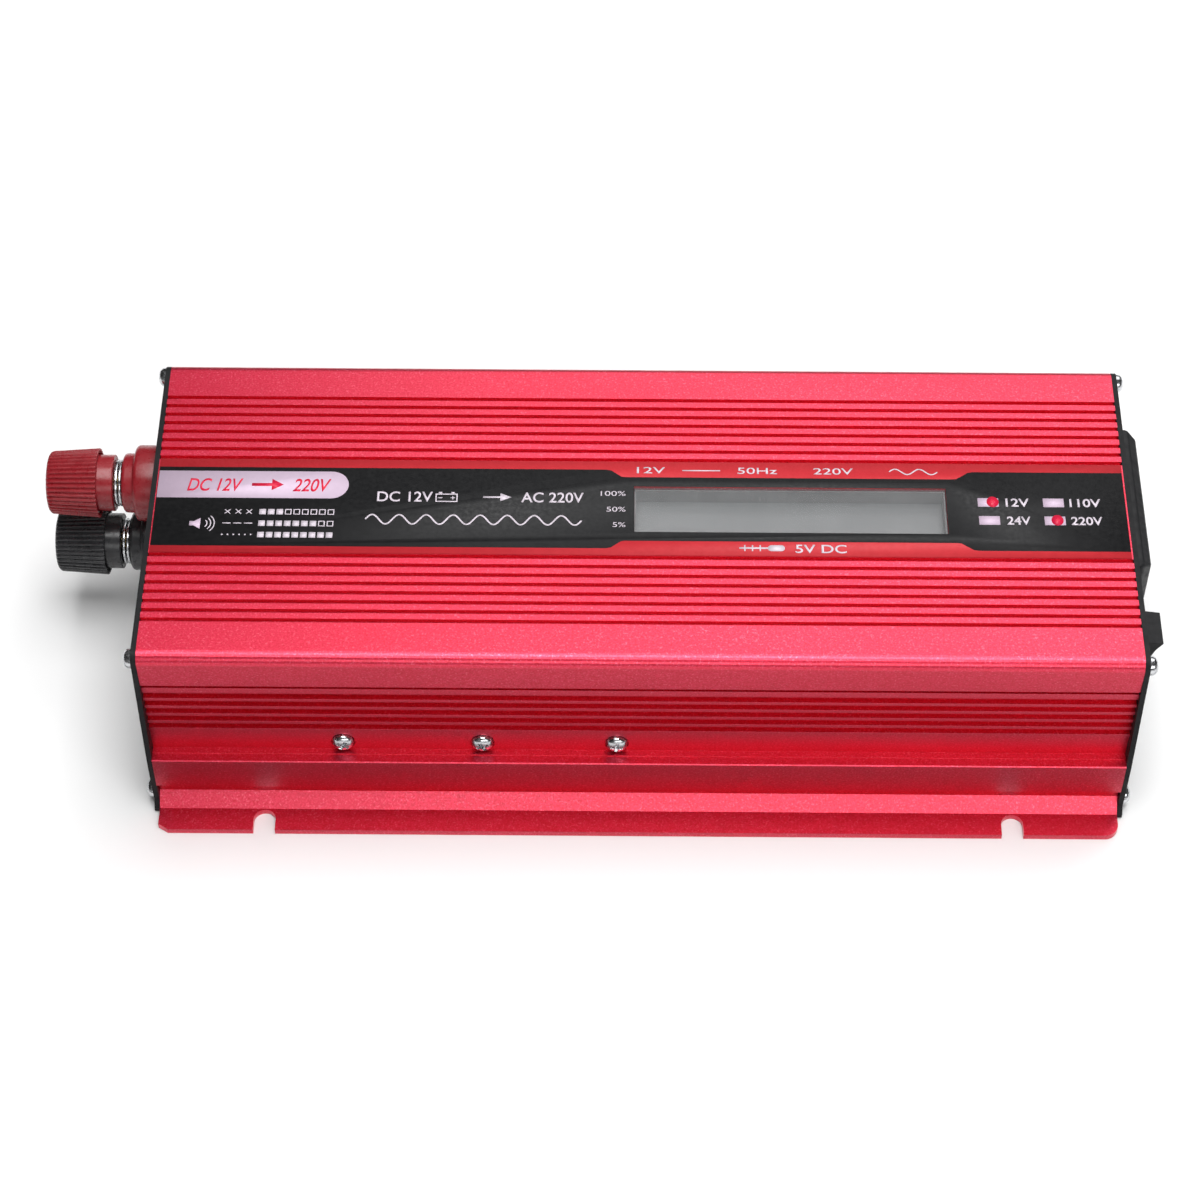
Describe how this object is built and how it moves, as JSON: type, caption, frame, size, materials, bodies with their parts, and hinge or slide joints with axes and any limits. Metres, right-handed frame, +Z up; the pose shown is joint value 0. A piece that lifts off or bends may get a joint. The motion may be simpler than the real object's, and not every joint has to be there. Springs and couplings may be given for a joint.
{
  "type": "power inverter",
  "caption": "Long red extruded case with flanged base, battery posts and fan at one end, mains outlet, rocker switch and USB port at the other, and a display window on top.",
  "frame": {"origin": "centre of the underside of the case, midway between its end plates and between its side walls", "axes": "+X along the case towards the mains outlet end, +Y towards the rear flange, +Z up through the label"},
  "size_m": [0.3234, 0.135, 0.0684],
  "materials": {
    "anodised_red": "sand-blasted red anodising over extruded aluminium, semi-gloss",
    "black_plate": "black powder coat, semi-matt",
    "zinc_steel": "bright zinc-plated steel",
    "label_film": "printed polyester film in black, red and pink",
    "display_glass": "grey liquid-crystal window under clear film",
    "display_frame": "grey moulded display frame",
    "display_green": "display panel",
    "circuit_board": "green solder mask",
    "red_plastic": "moulded red plastic",
    "black_plastic": "moulded black plastic",
    "brass": "turned brass",
    "fan_plastic": "glass-filled black plastic",
    "socket_plastic": "moulded black plastic, finely textured",
    "white_plastic": "white plastic",
    "ferrite": "sintered ferrite",
    "copper_wire": "enamelled copper wire",
    "yellow_core": "coated iron powder",
    "capacitor_sleeve": "shrunk plastic sleeve",
    "fuse_plastic": "clear green plastic",
    "chip_black": "moulded epoxy",
    "bare_aluminium": "bare extruded bar",
    "pad_rubber": "thermal pad",
    "lead_sheath": "insulated wire",
    "ribbon": "flat ribbon cable",
    "print_ink": "screen-printed ink"
  },
  "bodies": {
    "case": {"top_shell": "anodised_red", "base_plate": "anodised_red", "dc_end_plate": "black_plate", "ac_end_plate": "black_plate", "dc_plate_screws": "zinc_steel", "ac_plate_screws": "zinc_steel", "front_clamp_screws": "zinc_steel", "rear_clamp_screws": "zinc_steel", "face_label": "label_film", "display_window": "display_glass", "display_surround": "display_frame", "display_panel": "display_green", "display_board": "circuit_board", "red_post_base": "red_plastic", "red_post_stud": "brass", "red_post_insulator": "red_plastic", "red_post_nut": "zinc_steel", "black_post_base": "black_plastic", "black_post_stud": "brass", "black_post_insulator": "black_plastic", "black_post_nut": "zinc_steel", "fan_frame": "fan_plastic", "fan_screws": "zinc_steel", "fan_nuts": "zinc_steel", "outlet_housing": "socket_plastic", "outlet_contacts": "brass", "switch_housing": "socket_plastic", "switch_tabs": "zinc_steel", "usb_shell": "zinc_steel", "usb_tongue": "white_plastic", "usb_board": "circuit_board", "main_board": "circuit_board", "board_spacers": "brass", "board_screws": "zinc_steel", "transformer_cores": "ferrite", "transformer_bobbins": "black_plastic", "transformer_windings": "copper_wire", "input_capacitors": "capacitor_sleeve", "bus_capacitors": "capacitor_sleeve", "fuses": "fuse_plastic", "choke_core": "yellow_core", "choke_winding": "copper_wire", "front_transistors": "chip_black", "rear_transistors": "chip_black", "clamp_bars": "bare_aluminium", "insulating_strips": "pad_rubber", "driver_board": "circuit_board", "driver_chips": "chip_black", "buzzer": "black_plastic", "red_lead": "red_plastic", "black_lead": "black_plastic", "ac_leads": "lead_sheath", "fan_lead": "lead_sheath", "display_cable": "ribbon"},
    "red_washers": {"red_post_washers": "zinc_steel"},
    "red_knob": {"red_knob": "red_plastic"},
    "black_washers": {"black_post_washers": "zinc_steel"},
    "black_knob": {"black_knob": "black_plastic"},
    "fan_rotor": {"fan_rotor": "fan_plastic"},
    "rocker": {"switch_rocker": "socket_plastic"}
  },
  "joints": [
    {"name": "red_knob_travel", "type": "slide", "parent": "case", "child": "red_washers", "axis": [-1, 0, 0], "range_m": [0, 0.01]},
    {"name": "red_knob_turn", "type": "hinge", "parent": "red_washers", "child": "red_knob", "pos_m": [-0.16, 0.023, 0.0506], "axis": [-1, 0, 0], "range_deg": [0, 3600]},
    {"name": "black_knob_travel", "type": "slide", "parent": "case", "child": "black_washers", "axis": [-1, 0, 0], "range_m": [0, 0.01]},
    {"name": "black_knob_turn", "type": "hinge", "parent": "black_washers", "child": "black_knob", "pos_m": [-0.16, 0.0198, 0.0274], "axis": [-1, 0, 0], "range_deg": [0, 3600]},
    {"name": "fan_spin", "type": "hinge", "parent": "case", "child": "fan_rotor", "pos_m": [-0.13, -0.0227, 0.0359], "axis": [1, 0, 0], "continuous": true},
    {"name": "rocker_tilt", "type": "hinge", "parent": "case", "child": "rocker", "pos_m": [0.1405, -0.0317, 0.0474], "axis": [0, 1, 0], "range_deg": [-20, 0]}
  ],
  "couplings": [
    {"joint": "red_knob_turn", "follows": "red_knob_travel", "rad_per_m": 6283.2},
    {"joint": "black_knob_turn", "follows": "black_knob_travel", "rad_per_m": 6283.2}
  ]
}
